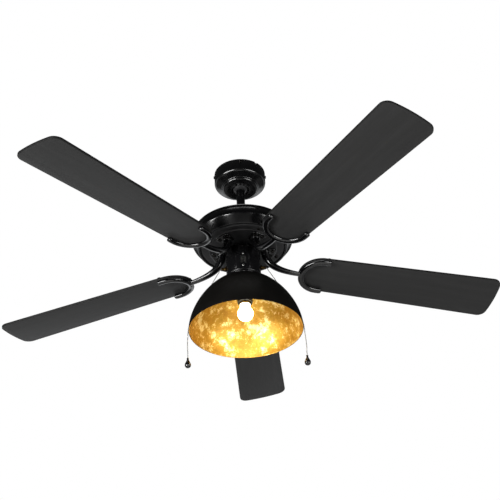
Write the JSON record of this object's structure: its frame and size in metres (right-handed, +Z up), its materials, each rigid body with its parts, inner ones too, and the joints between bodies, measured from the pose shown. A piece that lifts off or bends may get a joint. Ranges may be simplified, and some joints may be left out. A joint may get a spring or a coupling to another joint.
{
  "type": "ceiling fan with light",
  "caption": "Ceiling fan with flat paddle blades on curved irons, a short hanger rod, a switch cup with pull chains, and a domed gold-lined lamp shade below.",
  "frame": {"origin": "centre of the hanger bracket's top face, on the ceiling plane, on the fan's own axis", "axes": "+Z up along the axis of the rod, motor and shade; the fan hangs towards -Z; -Y is the side with the reversing switch; the pull chains hang at -X and +X"},
  "size_m": [1.2764, 1.2409, 0.563],
  "materials": {
    "zinc_steel": "zinc-plated sheet steel, satin",
    "black_enamel": "black powder coat, satin gloss",
    "gloss_black_iron": "cast arms in gloss black enamel",
    "black_screws": "blackened steel screws",
    "bright_screws": "zinc-plated steel screws",
    "machined_steel": "turned steel",
    "cast_aluminium": "die-cast, painted dark grey",
    "core_steel": "laminated electrical steel",
    "copper_wire": "enamelled copper",
    "blade_board": "board faced in matt charcoal foil",
    "ball_nylon": "moulded nylon",
    "white_nylon": "moulded nylon",
    "brown_phenolic": "moulded phenolic",
    "black_plastic": "moulded plastic",
    "aged_brass": "brass, darkened",
    "shade_metal": "spun metal, matt black outside and gold leaf inside",
    "lamp_glass": "opal glass, lit",
    "cap_metal": "rolled screw cap",
    "chain_steel": "nickel-plated bead chain",
    "pendant_gloss": "gloss black lacquered turning",
    "lead_pvc": "PVC-covered leads"
  },
  "bodies": {
    "ceiling_mount": {"hanger_bracket": "zinc_steel", "canopy": "black_enamel", "canopy_screws": "black_screws", "terminal_block": "white_nylon"},
    "hanger": {"hanger_ball": "ball_nylon", "cross_pins": "machined_steel", "set_screws": "machined_steel", "downrod": "black_enamel", "coupling": "machined_steel", "coupling_cover": "black_enamel", "motor_top_housing": "black_enamel", "motor_bottom_housing": "black_enamel", "housing_screws": "black_screws", "motor_shaft": "machined_steel", "stator_core": "core_steel", "stator_windings": "copper_wire", "switch_plate": "zinc_steel", "shaft_nut": "machined_steel", "switch_cup": "black_enamel", "cup_screws": "black_screws", "reverse_switch": "bright_screws", "switch_screws": "bright_screws", "speed_switch": "brown_phenolic", "light_switch": "brown_phenolic", "speed_chain_guide": "aged_brass", "light_chain_guide": "aged_brass", "capacitor": "black_plastic", "motor_leads": "lead_pvc", "light_fitter": "black_enamel", "shade": "shade_metal", "shade_nut": "aged_brass", "lampholder": "black_plastic", "socket_shell": "aged_brass", "bulb_glass": "lamp_glass", "bulb_cap": "cap_metal", "speed_chain": "chain_steel", "light_chain": "chain_steel"},
    "rotor": {"upper_bearing": "machined_steel", "lower_bearing": "machined_steel", "rotor_top_can": "cast_aluminium", "rotor_bottom_can": "cast_aluminium", "rotor_screws": "black_screws", "blade_iron_1": "gloss_black_iron", "blade_iron_2": "gloss_black_iron", "blade_iron_3": "gloss_black_iron", "blade_iron_4": "gloss_black_iron", "blade_iron_5": "gloss_black_iron", "iron_screws": "black_screws", "blade_1": "blade_board", "blade_2": "blade_board", "blade_3": "blade_board", "blade_4": "blade_board", "blade_5": "blade_board", "blade_screws": "black_screws"},
    "reverse_knob": {"reverse_slider": "black_plastic"},
    "speed_pull": {"speed_chain_tail": "chain_steel", "speed_pendant": "pendant_gloss"},
    "light_pull": {"light_chain_tail": "chain_steel", "light_pendant": "pendant_gloss"}
  },
  "joints": [
    {"name": "hanger_tilt", "type": "hinge", "parent": "ceiling_mount", "child": "hanger", "pos_m": [0, 0, -0.032], "axis": [0, 1, 0], "range_deg": [-12, 12]},
    {"name": "rotor_spin", "type": "hinge", "parent": "hanger", "child": "rotor", "pos_m": [0, 0, -0.237], "axis": [0, 0, 1], "continuous": true},
    {"name": "reverse_slide", "type": "slide", "parent": "hanger", "child": "reverse_knob", "axis": [0, 0, 1], "range_m": [0, 0.008]},
    {"name": "speed_pull_slide", "type": "slide", "parent": "hanger", "child": "speed_pull", "axis": [0, 0, -1], "range_m": [0, 0.01], "stiffness_N_per_m": 800},
    {"name": "light_pull_slide", "type": "slide", "parent": "hanger", "child": "light_pull", "axis": [0, 0, -1], "range_m": [0, 0.01], "stiffness_N_per_m": 800}
  ]
}
